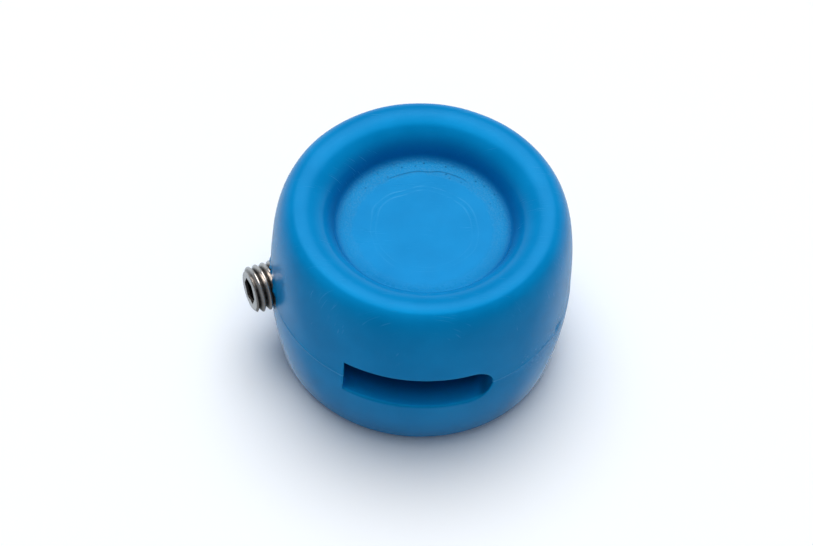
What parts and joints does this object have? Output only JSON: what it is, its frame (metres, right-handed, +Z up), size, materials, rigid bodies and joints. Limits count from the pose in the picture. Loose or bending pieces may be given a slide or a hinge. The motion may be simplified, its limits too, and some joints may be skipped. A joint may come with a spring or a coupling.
{
  "type": "clamp knob",
  "caption": "Thick round moulded knob with a dished top, a blind slot for a flat bar in its side and a hex-socket set screw that clamps the bar.",
  "frame": {"origin": "centre of the flat base, where the knob stands", "axes": "+Z up through the dished top, -Y towards the mouth of the bar slot, -X towards the side that the set screw enters"},
  "size_m": [0.0545, 0.05, 0.0327],
  "materials": {
    "blue_moulding": "satin gloss moulded polymer with fine scratches",
    "screw_steel": "bright turned stainless steel",
    "insert_brass": "turned and toothed brass",
    "pad_brass": "turned brass"
  },
  "bodies": {
    "knob": {"knob_body": "blue_moulding", "threaded_insert": "insert_brass"},
    "pad": {"thrust_pad": "pad_brass"},
    "screw": {"set_screw": "screw_steel"}
  },
  "joints": [
    {"name": "screw_travel", "type": "slide", "parent": "knob", "child": "pad", "axis": [0.9205, 0.3907, 0], "range_m": [-0.0025, 0.005]},
    {"name": "screw_turn", "type": "hinge", "parent": "pad", "child": "screw", "pos_m": [-0.02478, -0.00331, 0.0147], "axis": [0.9205, 0.3907, 0], "range_deg": [-720, 1440]}
  ],
  "couplings": [
    {"joint": "screw_travel", "follows": "screw_turn", "m_per_rad": 0.00019894}
  ]
}
